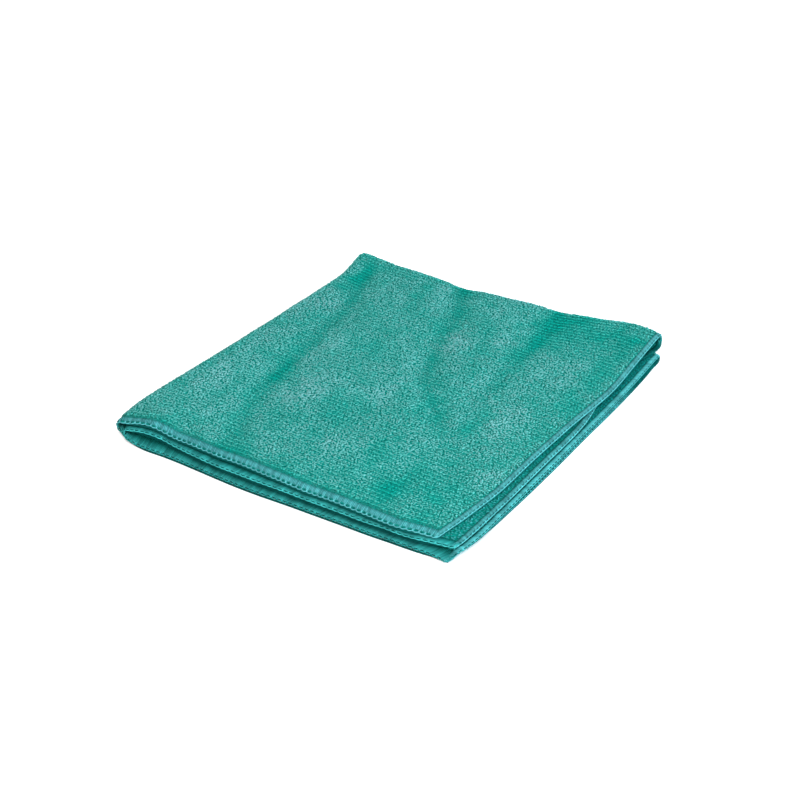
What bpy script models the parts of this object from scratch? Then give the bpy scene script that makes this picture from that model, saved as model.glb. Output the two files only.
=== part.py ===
"""Terry cleaning cloth, folded twice into quarters and lying flat.

The cloth is one sheet with a flat hem all round. It is folded first across the back (fold B, where the
top two layers join and the bottom two join) and then across the left side (fold A, where the top pair
turns into the bottom pair). Layer 1 is on top and layer 4 lies on the surface. The hems of all four
layers are open along the front (-Y) and along the right side (+X).

Lengths below are in millimetres, measured from the front left corner of the stack.
"""

import math

import bpy
import numpy as np

MM = 0.001

# The sheet
SHEET_WIDTH = 380.0
SHEET_LENGTH = 400.0
PILE_THICKNESS = 2.6
HEM_THICKNESS = 1.9
HEM_WIDTH = 5.0
CORNER_RADIUS = 2.0

# The folds
LAYER_PITCH = 3.6
PAIR_RADIUS = LAYER_PITCH / 2
STACK_RADIUS = LAYER_PITCH
FOLD_CENTRE_Z = PILE_THICKNESS / 2 + STACK_RADIUS + PAIR_RADIUS
FOLD_A_REACH = STACK_RADIUS + PAIR_RADIUS + PILE_THICKNESS / 2
FOLD_B_REACH = PAIR_RADIUS + PILE_THICKNESS / 2

# Spacing of the mesh lines
FLAT_STEP = 11.0
BEND_SEGMENTS = 8
HEM_LINES = (0.0, 2.5, HEM_WIDTH, 9.0)

LAYERS = ("layer_1", "layer_2", "layer_3", "layer_4")


def table(columns, rows):
    """A short table as a dictionary of named columns."""
    return dict(zip(columns.split(), np.array(rows, dtype=float).T))


# Outermost place of each fold: x of fold A's upper and lower half, y of the two folds that make up fold B.
FOLD_A = table("y upper lower", (
    (0, 0.8, 2.2), (8, -0.6, 0.3), (18, -1.5, -0.9), (40, -0.5, 0.1), (60, 1.2, 1.6),
    (100, 3.9, 4.4), (130, 6.0, 6.4), (160, 7.5, 7.6), (184, 8.4, 8.2), (204, 5.6, 7.0)))
FOLD_B = table("x upper lower", (
    (5, 203.6, 202.6), (36, 201.8, 201.6), (85, 200.2, 200.8), (130, 201.2, 200.8),
    (165, 202.8, 200.2), (182, 204.6, 199.0), (200, 201.4, 197.0)))

# Where the hem of each layer ends: y along the front, and x along the right side.
FRONT_HEMS = table("x layer_1 layer_2 layer_3 layer_4", (
    (0, 0.5, 0.0, 1.1, 3.5),
    (12, 1.2, 0.0, 0.8, 9.5),
    (24, 2.5, 1.4, 1.0, 10.0),
    (45, 2.4, -0.3, 0.1, 10.0),
    (80, 1.4, -2.2, -1.7, 9.5),
    (115, -1.0, -2.7, -1.5, 9.5),
    (140, -1.5, -3.1, -1.6, 10.0),
    (160, -2.1, -3.1, -1.6, 10.0),
    (175, -3.5, -3.1, -1.4, 10.0),
    (190, -1.8, -1.0, -1.2, 9.5),
    (200, -1.3, 0.3, -2.4, 9.5)))
RIGHT_HEMS = table("y layer_1 layer_2 layer_3 layer_4", (
    (0, 189.4, 197.4, 194.9, 194.7),
    (6, 190.3, 198.3, 198.2, 196.2),
    (16, 191.9, 198.8, 199.9, 197.6),
    (40, 194.7, 199.1, 200.3, 198.6),
    (80, 195.3, 198.8, 200.2, 199.0),
    (120, 196.6, 197.8, 199.7, 198.6),
    (145, 198.0, 193.5, 199.4, 198.6),
    (175, 196.8, 190.0, 198.6, 198.0),
    (200, 195.6, 192.8, 197.2, 196.8)))

# Soft swells: centre, reach and the rise of each layer there.
SWELLS = table("x y reach_x reach_y layer_1 layer_2 layer_3", (
    (23, -2, 19, 34, 3.2, 2.9, 0.0),
    (14, 206, 20, 30, 3.0, 2.3, 0.8),
    (196, 204, 62, 66, 2.8, -0.5, 0.1),
    (108, 96, 60, 60, 0.7, 0.5, 0.2)))

# How far layer 2 starts in from layer 1 at fold A, at the front hem.
INNER_FOLD_SET_BACK = 2.8
SET_BACK_REACH = 15.0

# The droop of layer 3's front hem over the shorter layer 4.
DROOP_DEPTH = 3.3
DROOP_REACH = 6.5
DROOP_START_X = (-4.0, 16.0)

# Main creases, as troughs that run from the back towards the front.
CREASE_SHARE = {"layer_1": 1.0, "layer_2": 0.67, "layer_3": 0.33, "layer_4": 0.0}
CREASES = (
    table("x y half_width depth", (
        (16, 204, 8, 1.5), (32, 162, 9, 1.2), (41, 115, 9, 1.0), (51, 50, 9, 1.0), (66, 10, 9, 0.5))),
    table("x y half_width depth", (
        (76, 204, 11, 1.8), (93, 165, 10, 1.4), (103, 131, 9, 1.3), (116, 103, 9, 1.1),
        (138, 80, 9, 0.7), (163, 52, 10, 0.4), (176, 20, 10, 0.2))),
    table("x y half_width depth", (
        (136, 204, 9, 1.0), (143, 165, 9, 1.0), (147, 104, 9, 0.7), (152, 85, 9, 0.3))),
)


def smooth_step(share):
    share = np.clip(share, 0.0, 1.0)
    return share * share * (3 - 2 * share)


def smooth_curve(positions, rows, key, column):
    """A smooth curve through one column of a table."""
    knots = rows[key]
    values = rows[column]
    slopes = np.gradient(values, knots)
    inside = np.clip(positions, knots[0], knots[-1])
    index = np.clip(np.searchsorted(knots, inside, side="right") - 1, 0, len(knots) - 2)
    width = knots[index + 1] - knots[index]
    share = (inside - knots[index]) / width
    return ((1 + 2 * share) * (1 - share) ** 2 * values[index]
            + share * (1 - share) ** 2 * width * slopes[index]
            + share ** 2 * (3 - 2 * share) * values[index + 1]
            + share ** 2 * (share - 1) * width * slopes[index + 1])


def layer_blend(top, outer):
    """How much of each layer a point belongs to; it passes smoothly from one to the next in a fold."""
    return {
        "layer_1": top * outer,
        "layer_2": top * (1 - outer),
        "layer_3": (1 - top) * (1 - outer),
        "layer_4": (1 - top) * outer,
    }


def blended(blend, rows, key, positions):
    return sum(blend[layer] * smooth_curve(positions, rows, key, layer) for layer in LAYERS)


def fold_place(upper, rows, key, positions):
    above = smooth_curve(positions, rows, key, "upper")
    below = smooth_curve(positions, rows, key, "lower")
    return upper * above + (1 - upper) * below


def crease_depth(x, y):
    """Depth of the deepest crease at a point of the top layer."""
    deepest = np.zeros_like(x)
    for crease in CREASES:
        order = {name: column[::-1] for name, column in crease.items()}
        centre = smooth_curve(y, order, "y", "x")
        half_width = smooth_curve(y, order, "y", "half_width")
        depth = smooth_curve(y, order, "y", "depth")
        trough = depth * np.exp(-((x - centre) / half_width) ** 2)
        deepest = np.maximum(deepest, trough)
    return deepest


def rise(blend, x, y, from_hem):
    """How far a point lies above its even place in the stack; from_hem is its distance from the front hem."""
    total = -crease_depth(x, y) * sum(blend[layer] * CREASE_SHARE[layer] for layer in LAYERS)
    for i in range(len(SWELLS["x"])):
        span_x = (x - SWELLS["x"][i]) / SWELLS["reach_x"][i]
        span_y = (y - SWELLS["y"][i]) / SWELLS["reach_y"][i]
        bump = 1 - smooth_step(np.hypot(span_x, span_y))
        total += bump * sum(blend[layer] * SWELLS[layer][i] for layer in LAYERS[:3])
    from_left = smooth_step((x - DROOP_START_X[0]) / (DROOP_START_X[1] - DROOP_START_X[0]))
    droop = DROOP_DEPTH * from_left * (1 - smooth_step(from_hem / DROOP_REACH))
    return total - blend["layer_3"] * droop


def rounded_corners(across, along):
    """The flat sheet's points, with those of its four square corners drawn in to a round."""
    limit_across = SHEET_WIDTH / 2 - CORNER_RADIUS
    limit_along = SHEET_LENGTH / 2 - CORNER_RADIUS
    past_across = np.clip(np.abs(across) - limit_across, 0, None) / CORNER_RADIUS
    past_along = np.clip(np.abs(along) - limit_along, 0, None) / CORNER_RADIUS
    pull_across = CORNER_RADIUS * past_across * (1 - np.sqrt(1 - past_along ** 2 / 2))
    pull_along = CORNER_RADIUS * past_along * (1 - np.sqrt(1 - past_across ** 2 / 2))
    return across - np.sign(across) * pull_across, along - np.sign(along) * pull_along


def folded(across, along):
    """Where a point of the flat sheet lies in the stack.

    across runs from fold A: positive on the top pair and negative on the bottom pair.
    along runs from fold B: positive on the outer layers 1 and 4, negative on the inner 2 and 3.
    """
    across, along = rounded_corners(across, along)

    pair_bend = PAIR_RADIUS * math.pi / 2
    pair_angle = np.clip(along / PAIR_RADIUS, -math.pi / 2, math.pi / 2)
    offset = PAIR_RADIUS * np.sin(pair_angle)
    share_y = np.clip(np.abs(along) - pair_bend, 0, None) / (SHEET_LENGTH / 2 - pair_bend)

    stack_bend = STACK_RADIUS * math.pi / 2
    stack_angle = np.clip(across / STACK_RADIUS, -math.pi / 2, math.pi / 2)
    share_x = np.clip(np.abs(across) - stack_bend, 0, None) / (SHEET_WIDTH / 2 - stack_bend)

    blend_upper = (1 + np.sin(stack_angle)) / 2
    outer = (1 + np.sin(pair_angle)) / 2
    blend = layer_blend(blend_upper, outer)
    even_x = share_x * RIGHT_HEMS["layer_3"].max()
    even_y = (1 - share_y) * FOLD_B["upper"].max()

    set_back = INNER_FOLD_SET_BACK * blend_upper * (1 - outer) * smooth_step(1 - even_y / SET_BACK_REACH)
    bend_x = fold_place(blend_upper, FOLD_A, "y", even_y) + FOLD_A_REACH + set_back
    hem_x = blended(blend, RIGHT_HEMS, "y", even_y)
    x = bend_x + share_x * (hem_x - bend_x) - (STACK_RADIUS + offset) * np.cos(stack_angle)

    bend_y = fold_place(blend_upper, FOLD_B, "x", even_x) - FOLD_B_REACH
    hem_y = blended(blend, FRONT_HEMS, "x", even_x)
    y = bend_y + share_y * (hem_y - bend_y) + PAIR_RADIUS * np.cos(pair_angle)

    z = FOLD_CENTRE_Z + (STACK_RADIUS + offset) * np.sin(stack_angle) + rise(blend, x, y, y - hem_y)
    return x, y, z


def mesh_lines(half_length, bend_radius):
    """Places of the mesh lines along half of the sheet and through its bend, hem to hem."""
    bend = bend_radius * math.pi / 2
    flat_end = half_length - HEM_LINES[-1]
    flats = round((flat_end - bend) / FLAT_STEP)
    side = list(np.linspace(bend, flat_end, flats + 1))
    side += [half_length - line for line in reversed(HEM_LINES[:-1])]
    inside = list(np.linspace(-bend, bend, BEND_SEGMENTS + 1))[1:-1]
    return np.array([-place for place in reversed(side)] + inside + side)


def build_cloth(collection):
    across_lines = mesh_lines(SHEET_WIDTH / 2, STACK_RADIUS)
    along_lines = mesh_lines(SHEET_LENGTH / 2, PAIR_RADIUS)
    across, along = np.meshgrid(across_lines, along_lines, indexing="ij")
    points = np.stack(folded(across, along), axis=-1) * MM

    rows, columns = across.shape
    vertices = points.reshape(-1, 3)
    first = (np.arange(rows - 1)[:, None] * columns + np.arange(columns - 1)).reshape(-1)
    faces = np.stack([first, first + columns, first + columns + 1, first + 1], axis=-1)

    mesh = bpy.data.meshes.new("cloth")
    mesh.from_pydata(vertices.tolist(), [], faces.tolist())
    mesh.shade_smooth()
    cloth = bpy.data.objects.new("cloth", mesh)
    collection.objects.link(cloth)

    body = cloth.vertex_groups.new(name="body")
    within_sides = np.abs(across) < SHEET_WIDTH / 2 - HEM_WIDTH
    within_ends = np.abs(along) < SHEET_LENGTH / 2 - HEM_WIDTH
    body.add(np.flatnonzero((within_sides & within_ends).reshape(-1)).tolist(), 1.0, "REPLACE")

    solidify = cloth.modifiers.new("thickness", "SOLIDIFY")
    solidify.thickness = PILE_THICKNESS * MM
    solidify.offset = 0.0
    solidify.vertex_group = body.name
    solidify.thickness_vertex_group = HEM_THICKNESS / PILE_THICKNESS
    return cloth


def set_origin_below(cloth):
    """Moves the cloth so that its box stands centred on the world's origin."""
    bpy.context.view_layer.update()
    corners = np.array(cloth.evaluated_get(bpy.context.evaluated_depsgraph_get()).bound_box)
    low = corners.min(axis=0)
    high = corners.max(axis=0)
    cloth.location = (-(low[0] + high[0]) / 2, -(low[1] + high[1]) / 2, -low[2])


def teal_terry():
    material = bpy.data.materials.new("teal_terry")
    material.use_nodes = True
    surface = material.node_tree.nodes["Principled BSDF"]
    surface.inputs["Base Color"].default_value = (0.044, 0.337, 0.305, 1.0)
    surface.inputs["Roughness"].default_value = 0.95
    surface.inputs["Metallic"].default_value = 0.0
    return material


def main():
    for item in list(bpy.data.objects):
        bpy.data.objects.remove(item, do_unlink=True)
    collection = bpy.data.collections.new("folded_cleaning_cloth")
    bpy.context.scene.collection.children.link(collection)
    cloth = build_cloth(collection)
    cloth.data.materials.append(teal_terry())
    set_origin_below(cloth)


main()
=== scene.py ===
"""Looks of the folded microfibre cloth: knitted ground, looped pile, overlocked hem, and the studio.

The cloth is one sheet, folded across the back (fold B) and then across the left side (fold A), so that it
lies in four layers with their hems open along the front and the right side. Lengths in the tables are in
millimetres, measured from the front left corner of the stack; finished meshes are in metres in the frame.
"""

import math

import bpy
import numpy as np
from mathutils import Matrix, Vector


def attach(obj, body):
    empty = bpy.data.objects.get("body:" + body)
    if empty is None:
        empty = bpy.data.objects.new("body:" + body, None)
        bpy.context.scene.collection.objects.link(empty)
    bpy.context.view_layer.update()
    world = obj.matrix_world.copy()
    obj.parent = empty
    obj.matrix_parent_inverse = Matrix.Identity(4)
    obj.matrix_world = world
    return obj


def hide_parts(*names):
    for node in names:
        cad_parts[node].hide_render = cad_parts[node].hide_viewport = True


MM = 0.001


def table(columns, rows):
    """A short table as a dictionary of named columns."""
    return dict(zip(columns.split(), np.array(rows, dtype=float).T))


# The sheet and its folds, as in the solid
SHEET_WIDTH = 380.0
SHEET_LENGTH = 400.0
CLOTH_THICKNESS = 2.6
HEM_WIDTH = 5.0
CORNER_RADIUS = 2.0
LAYER_PITCH = 3.6
PAIR_RADIUS = LAYER_PITCH / 2
STACK_RADIUS = LAYER_PITCH
PAIR_BEND = PAIR_RADIUS * math.pi / 2
STACK_BEND = STACK_RADIUS * math.pi / 2
FOLD_CENTRE_Z = CLOTH_THICKNESS / 2 + STACK_RADIUS + PAIR_RADIUS
FOLD_A_REACH = STACK_RADIUS + PAIR_RADIUS + CLOTH_THICKNESS / 2
FOLD_B_REACH = PAIR_RADIUS + CLOTH_THICKNESS / 2
HALF_WIDTH = SHEET_WIDTH / 2
HALF_LENGTH = SHEET_LENGTH / 2
LAYERS = ("layer_1", "layer_2", "layer_3", "layer_4")

# The knitted ground: half its thickness, the lines of its mesh as insets from the edge, and its knots
GROUND_HALF = 0.78
HEM_GROUND_HALF = 0.45
HEM_GROUND_START = 3.0
GROUND_LINES = (7.5, 5.0, 2.9, 0.7)
GROUND_STEP = 4.0
BEND_SEGMENTS = 12
KNOT_SIZE = 1.1
# The knots' gaps keep the ground darker than the loops, and darkest between its knots: painted shade under
# the pile
KNOT_GAPS = {"From Min": 0.25, "From Max": 0.75, "To Min": 0.65, "To Max": 0.32}

# Its tone: painted shade darkens it near the edges, apart from the top layer's, so that the hem's holes
# show dark, and painted light makes it paler near the two right edges; it takes only a small share of the
# pile's lie
GROUND_LIE_AND_LIGHT = {"top": 0.1, "below": 0.05, "right": 0.3}
EDGE_REACH = 4.0
EDGE_PAINTED_SHADE = 0.5
RIGHT_REACH = 3.0
RIGHT_PAINTED_LIGHT = 0.7

# The loops of its pile, and how much closer they stand in the folds
LOOP_TOP = 1.32
LOOP_FOOT = 0.45
YARN_RADIUS = 0.5
LOOP_HALF_SPAN = 0.42
LOOP_SIDES = 3
LOOP_PITCH = 1.35
ROW_PITCH = 1.3
STACK_BEND_PITCH = 0.6
PAIR_BEND_PITCH = 0.65
OPEN_LOOP = table("run up", ((-1.5, 0), (-0.8, 1), (0.8, 1), (1.5, 0)))
HIDDEN_LOOP = table("run up", ((-1.5, 0), (0, 1), (1.5, 0)))

# Ranges that the loops vary over
CROWN_RANGE = (0.85, 1.15)
SPAN_RANGE = (0.75, 1.35)
TWIST_RANGE = (-0.4, 0.4)
LEAN_RANGE = (0.4, 1.2)
YARN_RANGE = (0.85, 1.15)
SPOT_JITTER = 0.3
HIDDEN_ROW_JITTER = 0.4
SWEEP_SIZE = 30.0
SWEEP_SPREAD = 0.8

# Grades: a value where the pile stands up, and what is added to it where it lies brushed over; the root
# shade is painted shade at the foot of each loop
ROW_JITTER = (0.15, 0.25)
HEADING_SPREAD = (0.35, 0.8)
LEAN = (0.05, 0.5)
ROOT_SHADE = (0.44, 0.4)

# Grades from a loop's foot to its top, and by chance from loop to loop; the deep tone at a loop's foot is
# painted shade
YARN_THICKNESS = (0.8, 0.2)
LOOP_PALENESS = (0.15, 0.85)
CHANCE_PALENESS = (0.85, 0.3)

# Every other row is low where the pile stands up, and is painted darker as shade from its neighbours;
# creases and the rows next to the front hems are darker too, as painted shade
LOW_ROW_DROP = 0.8
LOW_ROW_PAINTED_SHADE = 0.35
CREASE_PAINTED_SHADE = 0.1
CREASE_BOTTOM = 0.4
HEM_STAND = 0.35
HEM_STAND_REACH = 5.0
HEM_PAINTED_SHADE = 0.5
HEM_DARK_REACH = 2.5

# Hidden pile: painted shade keeps it dark and deep in tone, and painted light makes it paler at the front
# right, where light reaches in between the layers
LIGHT_START_X = 150.0
LIGHT_RAMP_X = 30.0
LIGHT_END_Y = 100.0
LIGHT_LIE = 0.4
HIDDEN_SHADE = (0.72, 0.2)

# Zones of pile: they end at the hems, and between the layers they reach this far in from the edge. The
# depths are for the faces where layers 2 and 3 meet, for their other faces, and for those of layers 1 and 4
# that meet these.
PILE_WIDTH = HALF_WIDTH - 2.9
PILE_LENGTH = HALF_LENGTH - 5.0
TOP_THIRD = 66.0
FRONT_DEPTHS = (22.0, 18.0, 14.0)
RIGHT_DEPTHS = (20.0, 17.0, 14.0)

# The overlocked hem; places on it are insets from the edge, negative where the thread stands out past it
STITCH_COLUMNS = ("pitch", "needle_line", "hole_end", "apex", "cusp", "under")
STITCHES = {
    "front_outer": (3.1, 4.9, 1.0, -0.3, 0.55, 1.1),
    "front_inner": (3.1, 4.9, 0.5, -0.05, 0.45, 1.1),
    "right_upper": (2.6, 2.6, 0.5, 0.1, 0.3, 0.4),
    "right_lower": (2.6, 3.0, 0.5, 0.1, 0.3, 0.5),
}
THREAD_RADIUS = 0.32
THREAD_SIDES = 4
THREAD_END_GAP = 0.3

# A thread is thinner where it dives into the cloth: there its shade is below twice this value
DIVE_SHADE = 0.3
THREAD_THICKNESS = (0.7, 0.3)

# A strand of the band, from the needle line (reach 1) to the hole, and a wrap, from face to face; their
# shade is painted shade, darkest where they dive into the cloth
BAND_STRANDS = 4
BAND_SLANT = 0.5
HOLE_ROUNDING = 0.75
BAND = table("reach lift shade", ((1, 0.42, 0.4), (0.5, 0.66, 1), (0, 0.56, 0.9)))
WRAP = table("inset lift shade", (
    (1.3, 0.52, 0.8), (0.5, 0.5, 1), (0.1, 0, 1), (0.5, -0.5, 1), (1.3, -0.52, 0.8)))

# The chain along the edge, and the cord under it: its route, its thickness at the ends as a share, and its
# radius as a share of how far down it hangs
CHAIN_RADIUS = 0.25
CHAIN_RINGS = 8
CORD_SIDES = 5
# The cord hangs under the edge, where the painted shade of undersides makes it a dark line: the shade under
# the hem's edge
UNDER_CORD = {"inset": 0.1, "start": 6.0, "step": 3.0, "end": 3.5, "taper": 12.0}
UNDER_CORD_THIN = 0.3
UNDER_CORD_RADIUS = 0.42

# Its tone is painted light and shade: palest on the top layer, and pale on the right sides, where the cool
# side light falls; painted shade where other layers cover it, on undersides and on the lower pair, and past
# the back fold, where the hem turns from one layer to the next; fine ribs vary it along the edge
TOP_RAMP = 4.0
PALENESS_BELOW = {"front": 0.4, "right": 0.95}
COVER_START = 1.0
COVER_REACH = {"front": 3.3, "right": 2.4}
COVER_PAINTED_SHADE = 0.8
LOWER_PAIR_SHADE = 0.4
UNDERSIDE_RAMP = 1.2
UNDERSIDE_PAINTED_SHADE = 0.8
FOLD_SHADE = {"start": -3.0, "ramp": 5.0, "end": 25.0, "fade": 30.0, "darkness": 0.6}
RIB_SIZE = 1.7
RIB_CONTRAST = 0.5
TOP_RIB_LOSS = 0.5

# Colours, as linear RGB
SHEEN_TINT = (0.75, 1.0, 0.98)
FLOOR_GREY = (0.95, 0.95, 0.95)
DEEP_TEAL = (0.004, 0.304, 0.248)
# A bluer copy of the deep teal for the hidden pile: the painted tint of the cool light in the gaps between
# the layers
INSIDE_TEAL = (0.004, 0.285, 0.275)
PALE_TEAL = (0.130, 0.328, 0.328)
# The thread's pale colour is its lit one and its deep colour its shaded one; its tone mixes them as painted
# light and shade
DEEP_THREAD = (0.008, 0.240, 0.215)
PALE_THREAD = (0.065, 0.293, 0.303)

# Surfaces: the fibres of a yarn, which show as fine bump and a little sheen, and the bump of the knots
FIBRE_NOISE = {"Scale": 4000.0, "Detail": 3.0}
FIBRE_BUMP = {"strength": 0.35, "depth": 0.1}
KNOT_BUMP = {"strength": 0.8, "depth": 0.4}
SHEEN_ROUGHNESS = 0.45
GROUND_ROUGHNESS = 0.95
FLOOR_ROUGHNESS = 0.9

# Outermost place of each fold: x of fold A's upper and lower half, y of the two folds that make up fold B.
FOLD_A = table("y upper lower", (
    (0, 0.8, 2.2), (8, -0.6, 0.3), (18, -1.5, -0.9), (40, -0.5, 0.1), (60, 1.2, 1.6),
    (100, 3.9, 4.4), (130, 6.0, 6.4), (160, 7.5, 7.6), (184, 8.4, 8.2), (204, 5.6, 7.0)))
FOLD_B = table("x upper lower", (
    (5, 203.6, 202.6), (36, 201.8, 201.6), (85, 200.2, 200.8), (130, 201.2, 200.8),
    (165, 202.8, 200.2), (182, 204.6, 199.0), (200, 201.4, 197.0)))

# Where the hem of each layer ends: y along the front, and x along the right side. At the back, layer 2's
# right hem lies up to 3 mm further out than in the solid.
FRONT_HEMS = table("x layer_1 layer_2 layer_3 layer_4", (
    (0, 0.5, 0.0, 1.1, 3.5),
    (12, 1.2, 0.0, 0.8, 9.5),
    (24, 2.5, 1.4, 1.0, 10.0),
    (45, 2.4, -0.3, 0.1, 10.0),
    (80, 1.4, -2.2, -1.7, 9.5),
    (115, -1.0, -2.7, -1.5, 9.5),
    (140, -1.5, -3.1, -1.6, 10.0),
    (160, -2.1, -3.1, -1.6, 10.0),
    (175, -3.5, -3.1, -1.4, 10.0),
    (190, -1.8, -1.0, -1.2, 9.5),
    (200, -1.3, 0.3, -2.4, 9.5)))
RIGHT_HEMS = table("y layer_1 layer_2 layer_3 layer_4", (
    (0, 189.4, 197.4, 194.9, 194.7),
    (6, 190.3, 198.3, 198.2, 196.2),
    (16, 191.9, 198.8, 199.9, 197.6),
    (40, 194.7, 199.1, 200.3, 198.6),
    (80, 195.3, 198.8, 200.2, 199.0),
    (120, 196.6, 197.8, 199.7, 198.6),
    (145, 198.0, 193.5, 199.4, 198.6),
    (175, 196.8, 190.6, 198.6, 198.0),
    (200, 195.6, 195.6, 197.2, 196.8)))

# Soft swells: centre, reach and the rise of each layer there.
SWELLS = table("x y reach_x reach_y layer_1 layer_2 layer_3", (
    (23, -2, 19, 34, 3.2, 2.9, 0.0),
    (14, 206, 20, 30, 3.0, 2.3, 0.8),
    (196, 204, 62, 66, 2.8, -0.5, 0.1),
    (108, 96, 60, 60, 0.7, 0.5, 0.2)))

# How far layer 2 starts in from layer 1 at fold A, at the front hem.
INNER_FOLD_SET_BACK = 2.8
SET_BACK_REACH = 15.0

# The droop of layer 3's front hem over the shorter layer 4.
DROOP_DEPTH = 3.3
DROOP_REACH = 6.5
DROOP_START_X = (-4.0, 16.0)

# Main creases, as troughs that run from the back towards the front.
CREASE_SHARE = {"layer_1": 1.0, "layer_2": 0.67, "layer_3": 0.33, "layer_4": 0.0}
CREASES = (
    table("x y half_width depth", (
        (16, 204, 8, 1.5), (32, 162, 9, 1.2), (41, 115, 9, 1.0), (51, 50, 9, 1.0), (66, 10, 9, 0.5))),
    table("x y half_width depth", (
        (76, 204, 11, 1.8), (93, 165, 10, 1.4), (103, 131, 9, 1.3), (116, 103, 9, 1.1),
        (138, 80, 9, 0.7), (163, 52, 10, 0.4), (176, 20, 10, 0.2))),
    table("x y half_width depth", (
        (136, 204, 9, 1.0), (143, 165, 9, 1.0), (147, 104, 9, 0.7), (152, 85, 9, 0.3))),
)

# Small lumps between the creases: their size across and their height.
LUMP_SIZE = 15.0
LUMP_HEIGHT = 0.5

# How far the pile lies brushed over: its even lie, what noise of two sizes adds, and what patches and
# creases take away. A patch stands up and looks deep (positive) or lies over and looks pale (negative).
EVEN_LIE = 0.57
LIE_NOISES = ({"share": 0.32, "size": 17.0, "seed": 11}, {"share": 0.4, "size": 5.5, "seed": 12})
PATCH_SHARE = 0.85
CREASE_SHARE_OF_LIE = 0.25
CREASE_BREADTH_OF_LIE = 0.5
PILE_PATCHES = table("x y reach_x reach_y depth", (
    (22, 176, 9, 20, 0.5),
    (62, 186, 8, 22, 0.4),
    (82, 197, 14, 12, 0.46),
    (146, 184, 22, 34, 0.25),
    (166, 186, 44, 36, 0.5),
    (194, 188, 24, 40, 0.25),
    (188, 150, 14, 60, 0.22),
    (142, 160, 8, 24, 0.25),
    (128, 48, 12, 26, 0.34),
    (152, 26, 52, 36, 0.36),
    (182, 16, 22, 22, 0.25),
    (157, 78, 8, 24, 0.46),
    (188, 100, 12, 60, 0.1),
    (52, 32, 9, 16, 0.4),
    (92, 55, 10, 8, 0.29),
    (45, 78, 6, 14, 0.34),
    (85, 12, 40, 8, 0.23),
    (70, 72, 20, 30, -0.4),
    (108, 142, 16, 22, -0.4),
    (127, 158, 8, 20, -0.4),
    (168, 95, 12, 26, -0.46),
    (104, 36, 14, 14, -0.34),
    (184, 46, 9, 12, -0.57),
    (24, 145, 12, 16, -0.34),
    (22, 60, 18, 50, -0.17),
    (105, 80, 14, 20, -0.23)))


def smooth_step(share):
    """A smooth rise from 0 to 1 as the share goes from 0 to 1."""
    share = np.clip(share, 0.0, 1.0)
    return share * share * (3 - 2 * share)


def graded(grade, share):
    """A grade's first number, with this share of its second added."""
    start, more = grade
    return start + more * share


def soft_noise(x, y, size, seed):
    """Smooth random values from 0 to 1 that change over about this size."""
    cells = 64
    lattice = np.random.default_rng(seed).random((cells, cells))
    column, row = x / size + cells / 2, y / size + cells / 2
    left, low = np.floor(column).astype(int), np.floor(row).astype(int)
    across, up = smooth_step(column - left), smooth_step(row - low)
    corner = [[lattice[(left + i) % cells, (low + j) % cells] for j in (0, 1)] for i in (0, 1)]
    near = corner[0][0] * (1 - up) + corner[0][1] * up
    far = corner[1][0] * (1 - up) + corner[1][1] * up
    return near * (1 - across) + far * across


def smooth_curve(positions, rows, key, column):
    """A smooth curve through one column of a table."""
    knots = rows[key]
    values = rows[column]
    slopes = np.gradient(values, knots)
    inside = np.clip(positions, knots[0], knots[-1])
    index = np.clip(np.searchsorted(knots, inside, side="right") - 1, 0, len(knots) - 2)
    width = knots[index + 1] - knots[index]
    share = (inside - knots[index]) / width
    return ((1 + 2 * share) * (1 - share) ** 2 * values[index]
            + share * (1 - share) ** 2 * width * slopes[index]
            + share ** 2 * (3 - 2 * share) * values[index + 1]
            + share ** 2 * (share - 1) * width * slopes[index + 1])


def layer_blend(top, outer):
    """How much of each layer a point belongs to; it passes smoothly from one to the next in a fold."""
    return {
        "layer_1": top * outer,
        "layer_2": top * (1 - outer),
        "layer_3": (1 - top) * (1 - outer),
        "layer_4": (1 - top) * outer,
    }


def blended(blend, rows, key, positions):
    """A table's four layer columns at these positions, mixed as the blend says."""
    return sum(blend[layer] * smooth_curve(positions, rows, key, layer) for layer in LAYERS)


def fold_place(upper, rows, key, positions):
    """A fold's outermost place, mixed from its upper and lower half."""
    above = smooth_curve(positions, rows, key, "upper")
    below = smooth_curve(positions, rows, key, "lower")
    return upper * above + (1 - upper) * below


def crease_depth(x, y, breadth=1.0):
    """Depth of the deepest crease at a point of the top layer; a breadth below 1 keeps to its bottom."""
    deepest = np.zeros_like(x)
    for crease in CREASES:
        order = {name: column[::-1] for name, column in crease.items()}
        centre = smooth_curve(y, order, "y", "x")
        half_width = smooth_curve(y, order, "y", "half_width")
        depth = smooth_curve(y, order, "y", "depth")
        deepest = np.maximum(deepest, depth * np.exp(-((x - centre) / (half_width * breadth)) ** 2))
    return deepest


def patch_sum(rows, x, y, column):
    """The sum of soft round patches, each weighted by one column of the table."""
    total = 0.0
    for i in range(len(rows["x"])):
        span_x = (x - rows["x"][i]) / rows["reach_x"][i]
        span_y = (y - rows["y"][i]) / rows["reach_y"][i]
        total = total + rows[column][i] * (1 - smooth_step(np.hypot(span_x, span_y)))
    return total


def rise(blend, x, y, from_hem):
    """How far a point, this far from its front hem, lies above its even place in the stack."""
    lumps = LUMP_HEIGHT * (soft_noise(x, y, LUMP_SIZE, seed=3) - 0.5)
    total = (lumps - crease_depth(x, y)) * sum(blend[layer] * CREASE_SHARE[layer] for layer in LAYERS)
    for layer in LAYERS[:3]:
        total += blend[layer] * patch_sum(SWELLS, x, y, layer)
    from_left = smooth_step((x - DROOP_START_X[0]) / (DROOP_START_X[1] - DROOP_START_X[0]))
    droop = DROOP_DEPTH * from_left * (1 - smooth_step(from_hem / DROOP_REACH))
    return total - blend["layer_3"] * droop


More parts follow.
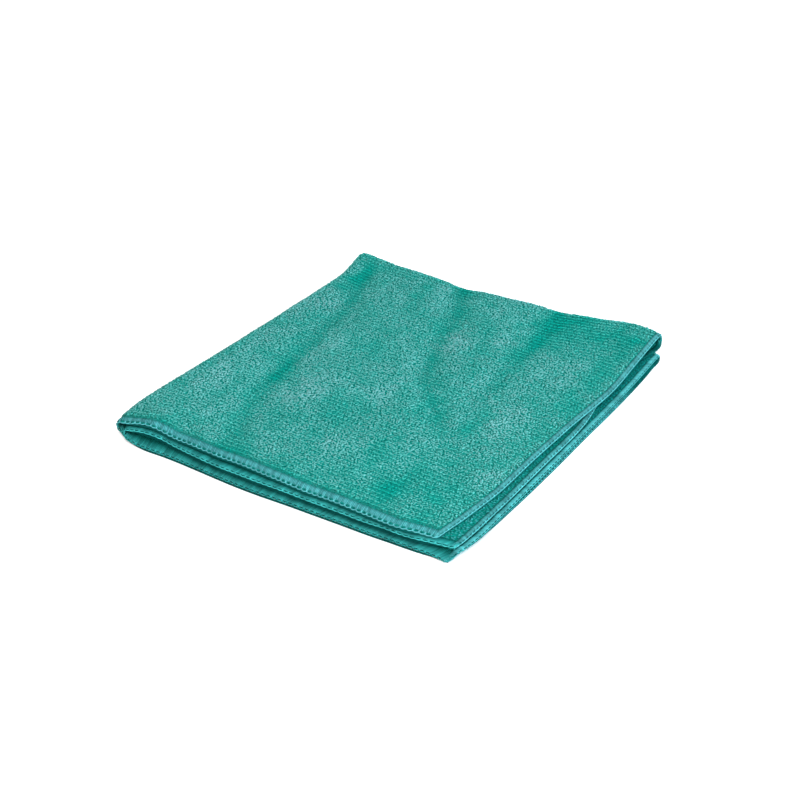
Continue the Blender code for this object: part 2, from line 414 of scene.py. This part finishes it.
def rounded_corners(across, along):
    """The flat sheet's points, with those of its four square corners drawn in to a round."""
    past_across = np.clip(np.abs(across) - HALF_WIDTH + CORNER_RADIUS, 0, None) / CORNER_RADIUS
    past_along = np.clip(np.abs(along) - HALF_LENGTH + CORNER_RADIUS, 0, None) / CORNER_RADIUS
    pull_across = CORNER_RADIUS * past_across * (1 - np.sqrt(1 - past_along ** 2 / 2))
    pull_along = CORNER_RADIUS * past_along * (1 - np.sqrt(1 - past_across ** 2 / 2))
    return across - np.sign(across) * pull_across, along - np.sign(along) * pull_along


def folded(across, along):
    """Where a point of the flat sheet lies in the stack.

    across runs from fold A: positive on the top pair and negative on the bottom pair.
    along runs from fold B: positive on the outer layers 1 and 4, negative on the inner 2 and 3.
    """
    across, along = rounded_corners(across, along)

    pair_angle = np.clip(along / PAIR_RADIUS, -math.pi / 2, math.pi / 2)
    offset = PAIR_RADIUS * np.sin(pair_angle)
    share_y = np.clip(np.abs(along) - PAIR_BEND, 0, None) / (HALF_LENGTH - PAIR_BEND)

    stack_angle = np.clip(across / STACK_RADIUS, -math.pi / 2, math.pi / 2)
    share_x = np.clip(np.abs(across) - STACK_BEND, 0, None) / (HALF_WIDTH - STACK_BEND)

    upper = (1 + np.sin(stack_angle)) / 2
    outer = (1 + np.sin(pair_angle)) / 2
    blend = layer_blend(upper, outer)
    even_x = share_x * RIGHT_HEMS["layer_3"].max()
    even_y = (1 - share_y) * FOLD_B["upper"].max()

    set_back = INNER_FOLD_SET_BACK * upper * (1 - outer) * smooth_step(1 - even_y / SET_BACK_REACH)
    bend_x = fold_place(upper, FOLD_A, "y", even_y) + FOLD_A_REACH + set_back
    hem_x = blended(blend, RIGHT_HEMS, "y", even_y)
    x = bend_x + share_x * (hem_x - bend_x) - (STACK_RADIUS + offset) * np.cos(stack_angle)

    bend_y = fold_place(upper, FOLD_B, "x", even_x) - FOLD_B_REACH
    hem_y = blended(blend, FRONT_HEMS, "x", even_x)
    y = bend_y + share_y * (hem_y - bend_y) + PAIR_RADIUS * np.cos(pair_angle)

    z = FOLD_CENTRE_Z + (STACK_RADIUS + offset) * np.sin(stack_angle) + rise(blend, x, y, y - hem_y)
    return np.stack([x, y, z], axis=-1)


def unit(vectors):
    """The vectors, each drawn to a length of 1."""
    return vectors / np.maximum(np.linalg.norm(vectors, axis=-1, keepdims=True), 1e-9)


def cloth_frame(across, along):
    """Point, outward normal and the two directions of the sheet's middle surface."""
    step = 0.15
    towards_hem = folded(across + step, along) - folded(across - step, along)
    towards_front = folded(across, along + step) - folded(across, along - step)
    normal = unit(np.cross(towards_front, towards_hem))
    return folded(across, along), normal, unit(towards_hem), unit(towards_front)


def pile_lie(x, y):
    """From 0, where the pile stands up, to 1, where it is brushed over."""
    lie = EVEN_LIE
    for noise in LIE_NOISES:
        lie = lie + noise["share"] * (soft_noise(x, y, noise["size"], noise["seed"]) - 0.5)
    lie = lie - PATCH_SHARE * patch_sum(PILE_PATCHES, x, y, "depth")
    return np.clip(lie - CREASE_SHARE_OF_LIE * crease_depth(x, y, CREASE_BREADTH_OF_LIE), 0, 1)


def edge_inset(across, along):
    """Distance of a point of the flat sheet from the nearest edge."""
    return np.minimum(HALF_WIDTH - np.abs(across), HALF_LENGTH - np.abs(along))


# Meshes

def stack_centre():
    """The middle of the stack's box in the tables' coordinates; the frame has its origin there."""
    step = 2.0
    across, along = np.meshgrid(np.linspace(-HALF_WIDTH, HALF_WIDTH, round(SHEET_WIDTH / step) + 1),
                                np.linspace(-HALF_LENGTH, HALF_LENGTH, round(SHEET_LENGTH / step) + 1),
                                indexing="ij")
    points = folded(across, along)
    low = points.min(axis=(0, 1)) - (CLOTH_THICKNESS / 2, 0, 0)
    high = points.max(axis=(0, 1)) + (0, CLOTH_THICKNESS / 2, 0)
    return (low + high) / 2 * (1, 1, 0)


def in_frame(points):
    """Points of the tables' coordinates, moved to the frame and kept from going below the surface."""
    placed = (points - STACK_CENTRE) * MM
    placed[..., 2] = np.maximum(placed[..., 2], 0.0)
    return placed


def add_piece(name, vertices, quads, material):
    """A mesh of quads as one visible piece that rides on the cloth's body."""
    mesh = bpy.data.meshes.new(name)
    mesh.vertices.add(len(vertices))
    mesh.vertices.foreach_set("co", in_frame(vertices).astype(np.float32).ravel())
    mesh.loops.add(quads.size)
    mesh.loops.foreach_set("vertex_index", quads.astype(np.int32).ravel())
    mesh.polygons.add(len(quads))
    mesh.polygons.foreach_set("loop_start", np.arange(0, quads.size, 4, dtype=np.int32))
    mesh.update(calc_edges=True)
    mesh.shade_smooth()
    mesh.materials.append(material)
    piece = bpy.data.objects.new(name, mesh)
    bpy.context.scene.collection.objects.link(piece)
    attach(piece, "root")
    return piece


def tube_rings(path, side, radius, sides):
    """Rings of points round many paths of equal length: path is (tubes, rings, 3)."""
    direction = unit(np.gradient(path, axis=1))
    side = unit(side - (side * direction).sum(axis=-1, keepdims=True) * direction)
    up = np.cross(direction, side)
    turn = np.arange(sides) * 2 * math.pi / sides
    circle = (np.cos(turn)[:, None] * side[:, :, None] + np.sin(turn)[:, None] * up[:, :, None])
    return path[:, :, None] + radius[..., None, None] * circle


def tube_quads(tubes, rings, sides):
    """The quads between the rings of many open-ended tubes."""
    number = np.arange(tubes * rings * sides).reshape(tubes, rings, sides)
    near, far = number[:, :-1], number[:, 1:]
    quads = np.stack([near, np.roll(near, -1, axis=2), np.roll(far, -1, axis=2), far], axis=-1)
    return quads.reshape(-1, 4)


def tube_map(mesh, tubes, rings, sides):
    """Gives every tube its own cell of a square map, with a little room round it."""
    margin = 0.06
    columns = math.ceil(math.sqrt(tubes))
    cell = np.arange(tubes)
    ring, side = np.meshgrid(np.arange(rings - 1), np.arange(sides), indexing="ij")
    corner_u = np.stack([ring, ring, ring + 1, ring + 1], axis=-1) / (rings - 1)
    corner_v = np.stack([side, side + 1, side + 1, side], axis=-1) / sides
    u = (cell % columns)[:, None, None, None] + margin + (1 - 2 * margin) * corner_u
    v = (cell // columns)[:, None, None, None] + margin + (1 - 2 * margin) * corner_v
    places = np.stack([u, v], axis=-1) / columns
    layer = mesh.uv_layers.new(name="OFBake")
    layer.uv.foreach_set("vector", places.astype(np.float32).ravel())


def add_tubes(name, path, side, radius, sides, material, values):
    """Many tubes as one piece; values holds the three painted numbers of each point of a path."""
    tubes, rings = path.shape[:2]
    vertices = tube_rings(path, side, radius, sides).reshape(-1, 3)
    piece = add_piece(name, vertices, tube_quads(tubes, rings, sides), material)
    tube_map(piece.data, tubes, rings, sides)
    paint(piece, np.broadcast_to(values[:, :, None], (tubes, rings, sides, 3)).reshape(-1, 3))
    return piece


def ground_lines(half, bend):
    """The mesh lines of the ground in one direction: even ones, closer ones in the bend and by the hems."""
    flat_end = half - GROUND_LINES[0]
    flat = np.linspace(bend, flat_end, round((flat_end - bend) / GROUND_STEP) + 1)
    side = np.concatenate([flat[:-1], half - np.array(GROUND_LINES)])
    inside = np.linspace(-bend, bend, BEND_SEGMENTS + 1)[1:-1]
    return np.concatenate([-side[::-1], inside, side])


def grid_quads(number):
    """The quads of a grid of numbered vertices."""
    quads = np.stack([number[:-1, :-1], number[1:, :-1], number[1:, 1:], number[:-1, 1:]], axis=-1)
    return quads.reshape(-1, 4)


def add_ground(material):
    """The knitted ground as one closed sheet, thinner in the hem."""
    across, along = np.meshgrid(ground_lines(HALF_WIDTH, STACK_BEND),
                                ground_lines(HALF_LENGTH, PAIR_BEND), indexing="ij")
    inset = edge_inset(across, along)
    past_hem = smooth_step((inset - HEM_GROUND_START) / HEM_WIDTH)
    half = (HEM_GROUND_HALF + (GROUND_HALF - HEM_GROUND_HALF) * past_hem)[..., None]
    middle, normal, _, _ = cloth_frame(across, along)
    vertices = np.concatenate([middle + half * normal, middle - half * normal]).reshape(-1, 3)

    outer = np.arange(across.size).reshape(across.shape)
    inner = outer + across.size
    rim = np.concatenate([outer[:, 0], outer[-1, 1:], outer[-2::-1, -1], outer[0, -2:0:-1]])
    rim_next = np.roll(rim, -1)
    sides = np.stack([rim, rim_next, rim_next + across.size, rim + across.size], axis=-1)
    quads = np.concatenate([grid_quads(outer)[:, ::-1], grid_quads(inner), sides])
    piece = add_piece("cloth_ground", vertices, quads, material)

    on_top = np.minimum(across, along) > 0
    by_edge = 1 - smooth_step(inset / EDGE_REACH)
    by_right = 1 - smooth_step((HALF_WIDTH - np.abs(across)) / RIGHT_REACH)
    share = np.where(on_top, GROUND_LIE_AND_LIGHT["top"], GROUND_LIE_AND_LIGHT["below"])
    lie = share * pile_lie(middle[..., 0], middle[..., 1]) + GROUND_LIE_AND_LIGHT["right"] * by_right
    # Painted shade near the edges of the lower layers, painted light near the two right edges
    shade = 1 - EDGE_PAINTED_SHADE * by_edge * ~on_top + RIGHT_PAINTED_LIGHT * by_right
    even_chance = np.full_like(lie, 0.5)
    values = np.stack([lie, shade, even_chance], axis=-1).reshape(-1, 3)
    paint(piece, np.tile(values, (2, 1)))
    return piece


def paint(piece, values):
    """Gives every point three numbers for the materials: paleness, shade and chance."""
    colours = np.ones((len(values), 4), dtype=np.float32)
    colours[:, :3] = values
    layer = piece.data.color_attributes.new("yarn", "FLOAT_COLOR", "POINT")
    layer.data.foreach_set("color", colours.ravel())


# Pile

def spots(zone, loop_pitch, row_pitch, rng):
    """Places of loops in a zone of the flat sheet, in rows that run along its width."""
    low_across, high_across, low_along, high_along = zone
    columns = max(1, round((high_across - low_across) / loop_pitch))
    rows = max(1, round((high_along - low_along) / row_pitch))
    step_across = (high_across - low_across) / columns
    step_along = (high_along - low_along) / rows
    column, row = np.meshgrid(np.arange(columns), np.arange(rows), indexing="ij")
    across = low_across + (column + 0.25 + 0.5 * (row % 2)) * step_across
    along = low_along + (row + 0.5) * step_along
    across = across + rng.uniform(-SPOT_JITTER, SPOT_JITTER, across.shape) * step_across
    return across.ravel(), along.ravel(), (row % 2).ravel()


def loop_tone(x, y, from_hem, lie, low, chance, up, hidden_shade):
    """The painted numbers of each point of each loop: paleness, shade and chance."""
    # Painted shade: loops are darker and deeper in tone at their roots, and darker in the low rows
    root = graded(ROOT_SHADE, lie)
    shade = root + (1 - LOW_ROW_PAINTED_SHADE * low - root) * up
    # Painted shade in the creases, and in the rows by the front hems
    shade = shade * (1 - CREASE_PAINTED_SHADE * crease_depth(x, y, CREASE_BOTTOM)[:, None])
    at_hem = 1 - smooth_step(from_hem / HEM_DARK_REACH)[:, None]
    shade = shade * (1 - HEM_PAINTED_SHADE * at_hem * chance) * hidden_shade
    pale = lie * graded(LOOP_PALENESS, up) * graded(CHANCE_PALENESS, chance)
    return np.stack(np.broadcast_arrays(pale, shade, chance), axis=-1)


def add_pile(name, zones, face, material, seed, pitch=1.0, size=1.0, hidden=False):
    """Loops of pile on one face of the sheet: 1 is the outermost face of layers 1 and 4, -1 the other.

    Where the pile stands up, every other row is low, which shows as ribs; where it is brushed over, the
    loops spread and lean. Hidden pile, between the layers and underneath, lies little; its deep tone and
    darkness are painted shade, and it is paler, as painted light, where light reaches in at the front
    right.
    """
    rng = np.random.default_rng(seed)
    places = []
    for zone in zones:
        in_stack_bend = max(abs(zone[0]), abs(zone[1])) <= STACK_BEND
        in_pair_bend = max(abs(zone[2]), abs(zone[3])) <= PAIR_BEND
        loop_pitch = LOOP_PITCH * pitch * (STACK_BEND_PITCH if in_stack_bend else 1.0)
        row_pitch = ROW_PITCH * pitch * (PAIR_BEND_PITCH if in_pair_bend else 1.0)
        places.append(spots(zone, loop_pitch, row_pitch, rng))
    across, along, low_row = (np.concatenate(values) for values in zip(*places))
    count = len(across)

    def varied(low, high):
        return rng.uniform(low, high, count)[:, None]

    middle = folded(across, along)
    x, y = middle[:, 0], middle[:, 1]
    in_light = smooth_step((x - LIGHT_START_X) / LIGHT_RAMP_X) * (1 - smooth_step(y / LIGHT_END_Y))
    # Hidden pile is paler only where painted light reaches in; elsewhere its deep tone is painted shade
    if hidden:
        lie = LIGHT_LIE * in_light
        row_jitter = HIDDEN_ROW_JITTER
    else:
        by_hem = 1 - smooth_step((HALF_LENGTH - np.abs(along) - HEM_WIDTH) / HEM_STAND_REACH)
        lie = np.clip(pile_lie(x, y) - HEM_STAND * by_hem, 0, 1)
        row_jitter = graded(ROW_JITTER, lie)
    along = along + rng.uniform(-1, 1, count) * row_jitter * ROW_PITCH * pitch
    middle, normal, wale, course = cloth_frame(across, along)
    normal = normal * face

    heading = (rng.normal(0, 1, count) * graded(HEADING_SPREAD, lie))[:, None]
    run = np.cos(heading) * wale + np.sin(heading) * course
    beside = np.cross(normal, run)
    sweep = 2 * math.pi * soft_noise(x, y, SWEEP_SIZE, seed=21) + rng.normal(0, SWEEP_SPREAD, count)
    lean = np.cos(sweep)[:, None] * wale + np.sin(sweep)[:, None] * course
    lie = lie[:, None]
    lean = lean * graded(LEAN, lie) * varied(*LEAN_RANGE) * size
    low = low_row[:, None] * (1 - lie)
    crown = (LOOP_TOP - LOOP_FOOT - YARN_RADIUS) * varied(*CROWN_RANGE) * (1 - LOW_ROW_DROP * low)
    half_span = LOOP_HALF_SPAN * size * varied(*SPAN_RANGE)
    twist = varied(*TWIST_RANGE) * size

    loop = HIDDEN_LOOP if hidden else OPEN_LOOP
    path = np.stack([
        middle + normal * (LOOP_FOOT + up * crown) + up * lean
        + step * (half_span * run + up * twist * beside)
        for step, up in zip(loop["run"], loop["up"])
    ], axis=1)
    radius = YARN_RADIUS * size * graded(YARN_THICKNESS, loop["up"]) * varied(*YARN_RANGE)
    chance = varied(0, 1)
    from_hem = HALF_LENGTH - np.abs(along) - HEM_WIDTH
    # Painted shade darkens hidden pile, less where light reaches in
    hidden_shade = graded(HIDDEN_SHADE, in_light)[:, None] if hidden else 1.0
    values = loop_tone(x, y, from_hem, lie, low, chance, loop["up"], hidden_shade)
    return add_tubes(name, path, beside[:, None], radius, LOOP_SIDES, material, values)


def add_all_pile(open_look, inside_look):
    """The pile of the top, of the folds, between the layers as far in as it shows, and underneath."""
    width, length = PILE_WIDTH, PILE_LENGTH
    outer_front, inner_front, cover_front = (HALF_LENGTH - depth for depth in FRONT_DEPTHS)
    outer_right, inner_right, cover_right = (HALF_WIDTH - depth for depth in RIGHT_DEPTHS)
    top_zones = {
        "left": (STACK_BEND, TOP_THIRD, PAIR_BEND, length),
        "middle": (TOP_THIRD, 2 * TOP_THIRD, PAIR_BEND, length),
        "right": (2 * TOP_THIRD, width, PAIR_BEND, length),
    }
    pieces = [add_pile(f"pile_top_{part}", [zone], 1, open_look, seed)
              for (part, zone), seed in zip(top_zones.items(), (31, 32, 37))]
    pieces.append(add_pile("pile_folds", [
        (STACK_BEND, width, -PAIR_BEND, PAIR_BEND),
        (-width, -STACK_BEND, -PAIR_BEND, PAIR_BEND),
        (-STACK_BEND, STACK_BEND, PAIR_BEND, length),
        (-STACK_BEND, STACK_BEND, -PAIR_BEND, PAIR_BEND),
    ], 1, open_look, seed=33))
    pieces.append(add_pile("pile_inside_outer_face", [
        (-width, width, -length, -outer_front),
        (outer_right, width, -outer_front, -PAIR_BEND),
        (-width, -outer_right, -outer_front, -PAIR_BEND),
    ], 1, inside_look, seed=34, pitch=1.05, size=0.9, hidden=True))
    pieces.append(add_pile("pile_inside_inner_face", [
        (-width, width, -length, -inner_front),
        (-width, width, cover_front, length),
        (inner_right, width, -inner_front, -PAIR_BEND),
        (-width, -inner_right, -inner_front, -PAIR_BEND),
        (cover_right, width, PAIR_BEND, cover_front),
    ], -1, inside_look, seed=35, pitch=1.2, hidden=True))
    pieces.append(add_pile("pile_underside", [
        (-width, -STACK_BEND, PAIR_BEND, length),
    ], 1, open_look, seed=36, pitch=1.5, size=1.2, hidden=True))
    return pieces


# Hem

def edge_place(side, run, inset):
    """Place on the flat sheet of a point that lies this far in from one of the four edges."""
    run, inset = np.broadcast_arrays(run, inset)
    sign = 1 if side in ("front_outer", "right_upper") else -1
    if side.startswith("front"):
        return run, sign * (HALF_LENGTH - inset)
    return sign * (HALF_WIDTH - inset), run


def thread_tone(side, across, along, run, inset, lift, shade):
    """Paleness and shade of the thread at each ring: painted light where it lies open, painted shade where
    it is covered, faces down, lies on the lower pair or past the back fold.
    """
    kind = side.split("_")[0]
    on_top = smooth_step(np.minimum(across, along) / TOP_RAMP + 0.5)
    covered = (1 - on_top) * smooth_step((inset - COVER_START) / COVER_REACH[kind])
    facing_down = -lift * np.sign(across) * np.sign(along)
    below = smooth_step(LOWER_PAIR_SHADE * (across < 0) + UNDERSIDE_RAMP * facing_down)
    past_fold = -along * np.sign(across)
    in_fold = (smooth_step((past_fold - FOLD_SHADE["start"]) / FOLD_SHADE["ramp"])
               * (1 - smooth_step((past_fold - FOLD_SHADE["end"]) / FOLD_SHADE["fade"])))
    rib = soft_noise(run, np.zeros_like(run), RIB_SIZE, seed=41) - 0.5

    # Painted light: paler on top and on the right sides; painted shade where covered, facing down, on the
    # lower pair and past the back fold
    lower = PALENESS_BELOW[kind]
    pale = (lower + (1 - lower) * on_top) * (1 - covered) * (1 - below) * (1 - in_fold)
    shade = shade * (1 + RIB_CONTRAST * (1 - TOP_RIB_LOSS * on_top) * rib)
    shade = shade * (1 - COVER_PAINTED_SHADE * covered) * (1 - UNDERSIDE_PAINTED_SHADE * below)
    return pale, shade * (1 - FOLD_SHADE["darkness"] * in_fold)


def add_thread(name, side, run, inset, lift, shade, material, rng, radius=THREAD_RADIUS, lengthwise=False):
    """Strands of thread on the hem of one edge, given ring by ring; they cross the hem or run along it."""
    end = (HALF_WIDTH if side.startswith("front") else HALF_LENGTH) - THREAD_END_GAP
    run, inset, lift, shade = np.broadcast_arrays(np.clip(run, -end, end), inset, lift, shade)
    across, along = edge_place(side, run, np.clip(inset, 0, None))
    middle, normal, _, _ = cloth_frame(across, along)
    outward = unit(folded(*edge_place(side, run, 0.0)) - folded(*edge_place(side, run, 1.0)))
    path = middle + normal * lift[..., None] + outward * np.clip(-inset, 0, None)[..., None]
    ahead, behind = (folded(*edge_place(side, run + step, 0.5)) for step in (0.2, -0.2))
    guide = normal if lengthwise else unit(ahead - behind)

    radius = radius * graded(THREAD_THICKNESS, smooth_step(shade / DIVE_SHADE - 1))
    pale, shade = thread_tone(side, across, along, run, inset, lift, shade)
    chance = np.broadcast_to(rng.random(len(run))[:, None], run.shape)
    values = np.stack([pale, shade, chance], axis=-1)
    sides = CORD_SIDES if lengthwise else THREAD_SIDES
    return add_tubes(name, path, guide, radius, sides, material, values)


def add_hem(material):
    """Overlock thread: a band of strands on both faces, wraps between its holes, a chain and a cord."""
    rng = np.random.default_rng(5)
    pieces = []
    for side, sizes in STITCHES.items():
        stitch = dict(zip(STITCH_COLUMNS, sizes))
        half = HALF_WIDTH if side.startswith("front") else HALF_LENGTH
        count = round(2 * half / stitch["pitch"])
        pitch = 2 * half / count
        centre = -half + (np.arange(count) + 0.5) * pitch

        share = (np.arange(BAND_STRANDS) + 0.5) / BAND_STRANDS - 0.5
        face = np.array([1, -1])[:, None]
        strand = share[:, None, None] - BAND_SLANT * face * BAND["reach"]
        run = centre[:, None, None, None] + pitch * strand
        hole_end = stitch["hole_end"] * (1 - HOLE_ROUNDING * (2 * share[:, None, None]) ** 2)
        inset = hole_end + (stitch["needle_line"] - hole_end) * BAND["reach"]
        lift = face * BAND["lift"]
        rings = [np.broadcast_to(values, run.shape).reshape(-1, 3) for values in (run, inset, lift)]
        # The band's shade column is painted shade where its strands dive into the cloth
        pieces.append(add_thread(f"hem_{side}_band", side, *rings, BAND["shade"], material, rng))

        between = (centre + pitch / 2)[:, None]
        pieces.append(add_thread(f"hem_{side}_wraps", side, between, WRAP["inset"], WRAP["lift"],
                                 WRAP["shade"], material, rng))

        phase = np.arange(count * CHAIN_RINGS + 1) / CHAIN_RINGS
        arch = np.abs(np.sin(math.pi * phase))
        scallop = stitch["cusp"] + (stitch["apex"] - stitch["cusp"]) * arch
        pieces.append(add_thread(f"hem_{side}_chain", side, (phase * pitch - half)[None], scallop[None],
                                 0.0, 1.0, material, rng, CHAIN_RADIUS, lengthwise=True))

        # The under cord is darkened by the painted shade of undersides, and shows as the shade under the
        # edge
        away = np.arange(UNDER_CORD["start"], half - UNDER_CORD["end"], UNDER_CORD["step"])
        from_end = np.minimum(away - away[0], away[-1] - away)
        taper = UNDER_CORD_THIN + (1 - UNDER_CORD_THIN) * smooth_step(from_end / UNDER_CORD["taper"])
        depth = stitch["under"] * taper
        down = -1 if side in ("front_outer", "right_upper") else 1
        pieces.append(add_thread(f"hem_{side}_under", side, np.stack([away, -away]), UNDER_CORD["inset"],
                                 np.stack([down * depth, -down * depth]), 1.0, material, rng,
                                 UNDER_CORD_RADIUS * depth, lengthwise=True))
    return pieces


# Materials

def new_material(name, roughness):
    """A matt material, with its nodes, its links and its surface."""
    material = bpy.data.materials.new(name)
    material.use_nodes = True
    nodes = material.node_tree.nodes
    surface = nodes["Principled BSDF"]
    surface.inputs["Roughness"].default_value = roughness
    return material, nodes, material.node_tree.links, surface


def add_node(nodes, kind, inputs=None, **settings):
    """A node with these settings and input values."""
    node = nodes.new(kind)
    for name, value in settings.items():
        setattr(node, name, value)
    for name, value in (inputs or {}).items():
        node.inputs[name].default_value = value
    return node


def add_bump(nodes, links, surface, height, strength, depth, invert=False):
    """Bump of the surface that follows a height; the depth is in millimetres."""
    bump = add_node(nodes, "ShaderNodeBump", {"Strength": strength, "Distance": depth * MM}, invert=invert)
    links.new(height, bump.inputs["Height"])
    links.new(bump.outputs["Normal"], surface.inputs["Normal"])


def add_painted_colour(nodes, links, surface, deep, pale):
    """Colour from deep to pale by the painted paleness, times the painted shade and a brightness.

    Returns the painted chance and the place to link the brightness to.
    """
    yarn = add_node(nodes, "ShaderNodeAttribute", attribute_name="yarn")
    parts = add_node(nodes, "ShaderNodeSeparateColor")
    links.new(yarn.outputs["Color"], parts.inputs["Color"])
    tone = add_node(nodes, "ShaderNodeMix", data_type="RGBA")
    tone.inputs["A"].default_value = (*deep, 1)
    tone.inputs["B"].default_value = (*pale, 1)
    links.new(parts.outputs["Red"], tone.inputs["Factor"])

    both = add_node(nodes, "ShaderNodeMath", operation="MULTIPLY")
    links.new(parts.outputs["Green"], both.inputs[0])
    colour = add_node(nodes, "ShaderNodeVectorMath", operation="SCALE")
    links.new(tone.outputs["Result"], colour.inputs[0])
    links.new(both.outputs["Value"], colour.inputs["Scale"])
    links.new(colour.outputs["Vector"], surface.inputs["Base Color"])
    surface.inputs["Specular IOR Level"].default_value = 0.0
    return parts.outputs["Blue"], both.inputs[1]


def yarn_material(name, deep, pale, spread, roughness, sheen):
    """A yarn with fine fibres; its brightness varies by chance from strand to strand."""
    material, nodes, links, surface = new_material(name, roughness)
    chance, brightness = add_painted_colour(nodes, links, surface, deep, pale)
    varied = add_node(nodes, "ShaderNodeMapRange", {"To Min": 1 - spread, "To Max": 1 + spread})
    links.new(chance, varied.inputs["Value"])
    links.new(varied.outputs["Result"], brightness)

    place = add_node(nodes, "ShaderNodeTexCoord")
    fibres = add_node(nodes, "ShaderNodeTexNoise", FIBRE_NOISE)
    links.new(place.outputs["Object"], fibres.inputs["Vector"])
    add_bump(nodes, links, surface, fibres.outputs["Fac"], **FIBRE_BUMP)
    surface.inputs["Sheen Weight"].default_value = sheen
    surface.inputs["Sheen Roughness"].default_value = SHEEN_ROUGHNESS
    surface.inputs["Sheen Tint"].default_value = (*SHEEN_TINT, 1)
    return material


def ground_material():
    """The knitted ground and the roots of the pile: rounded knots, painted darker than the loops and
    darkest in the gaps between them, as painted shade.
    """
    material, nodes, links, surface = new_material("terry_ground", GROUND_ROUGHNESS)
    _, brightness = add_painted_colour(nodes, links, surface, DEEP_TEAL, PALE_TEAL)
    place = add_node(nodes, "ShaderNodeTexCoord")
    knots = add_node(nodes, "ShaderNodeTexVoronoi", {"Scale": 1 / (KNOT_SIZE * MM)})
    links.new(place.outputs["Object"], knots.inputs["Vector"])
    gaps = add_node(nodes, "ShaderNodeMapRange", KNOT_GAPS)
    links.new(knots.outputs["Distance"], gaps.inputs["Value"])
    links.new(gaps.outputs["Result"], brightness)
    add_bump(nodes, links, surface, knots.outputs["Distance"], **KNOT_BUMP, invert=True)
    return material


# Stage: the camera in degrees and millimetres, the floor and the lights in metres

CAMERA_ELEVATION = math.radians(31.68)
CAMERA_AZIMUTH = math.radians(35.40)
CAMERA_ROLL = math.radians(-3.0)
CAMERA_DISTANCE = 897.84
CAMERA_TARGET = (101.21, 100.90, 0.0)
CAMERA_LENS = 81.0
CAMERA_SENSOR = 36.0
CAMERA_CLIP_START = 50.0
FLOOR_SIZE = 6.0
AMBIENT_STRENGTH = 0.75
LIGHTS = (
    {"name": "key", "place": (0.72, -1.02, 1.14), "size": 0.6, "power": 32.0, "colour": (1, 1, 1)},
    {"name": "side", "place": (1.2, -0.1, 0.4), "size": 0.6, "power": 22.0, "colour": (0.55, 0.87, 1.0)},
)


def add_camera():
    """The photograph's camera, turned by its roll."""
    camera = bpy.data.cameras.new("camera")
    camera.lens = CAMERA_LENS
    camera.sensor_width = CAMERA_SENSOR
    camera.clip_start = CAMERA_CLIP_START * MM
    holder = bpy.data.objects.new("camera", camera)
    flat = math.cos(CAMERA_ELEVATION)
    back = np.array([
        math.sin(CAMERA_AZIMUTH) * flat,
        -math.cos(CAMERA_AZIMUTH) * flat,
        math.sin(CAMERA_ELEVATION),
    ])
    level = unit(np.cross([0, 0, 1], back))
    upright = np.cross(back, level)
    right = math.cos(CAMERA_ROLL) * level + math.sin(CAMERA_ROLL) * upright
    up = math.cos(CAMERA_ROLL) * upright - math.sin(CAMERA_ROLL) * level
    place = (np.array(CAMERA_TARGET) - STACK_CENTRE + back * CAMERA_DISTANCE) * MM
    matrix = np.eye(4)
    matrix[:3, :4] = np.stack([right, up, back, place], axis=1)
    holder.matrix_world = Matrix(matrix.tolist())
    bpy.context.scene.collection.objects.link(holder)
    bpy.context.scene.camera = holder


def add_floor():
    """The pale surface that the cloth lies on."""
    bpy.ops.mesh.primitive_plane_add(size=FLOOR_SIZE)
    floor = bpy.context.object
    floor.name = "floor"
    material, _, _, surface = new_material("pale_floor", FLOOR_ROUGHNESS)
    surface.inputs["Base Color"].default_value = (*FLOOR_GREY, 1)
    floor.data.materials.append(material)


def add_area_light(name, place, size, power, colour):
    """A round light that is aimed at the middle of the stack."""
    light = bpy.data.lights.new(name, "AREA")
    light.shape = "DISK"
    light.size = size
    light.energy = power
    light.color = colour
    holder = bpy.data.objects.new(name, light)
    holder.location = place
    holder.rotation_euler = (-Vector(place)).to_track_quat("-Z", "Y").to_euler()
    bpy.context.scene.collection.objects.link(holder)


def add_lights():
    """Even light from all round, a key light from the front right and a cooler one from the right."""
    world = bpy.data.worlds.new("studio")
    world.use_nodes = True
    ambient = world.node_tree.nodes["Background"]
    ambient.inputs["Color"].default_value = (1, 1, 1, 1)
    ambient.inputs["Strength"].default_value = AMBIENT_STRENGTH
    bpy.context.scene.world = world
    for light in LIGHTS:
        add_area_light(**light)
    bpy.context.scene.view_settings.view_transform = "Standard"


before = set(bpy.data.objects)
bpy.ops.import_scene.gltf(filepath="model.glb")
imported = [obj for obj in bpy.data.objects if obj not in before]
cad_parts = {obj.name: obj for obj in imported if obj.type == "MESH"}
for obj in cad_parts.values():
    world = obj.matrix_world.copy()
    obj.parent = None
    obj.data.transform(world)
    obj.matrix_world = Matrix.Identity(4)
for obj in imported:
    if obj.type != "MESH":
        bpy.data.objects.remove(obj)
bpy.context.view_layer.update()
STACK_CENTRE = stack_centre()

ground_look = ground_material()
pile_look = yarn_material("terry_pile", DEEP_TEAL, PALE_TEAL, spread=0.08, roughness=0.9, sheen=0.02)
inside_look = yarn_material("terry_inside", INSIDE_TEAL, PALE_TEAL, spread=0.08, roughness=0.9, sheen=0.02)
thread_look = yarn_material("hem_thread", DEEP_THREAD, PALE_THREAD, spread=0.25, roughness=0.8, sheen=0.0)

cloth = add_ground(ground_look)
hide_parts("cloth")
extras = add_hem(thread_look) + add_all_pile(pile_look, inside_look)

add_floor()
add_lights()
add_camera()
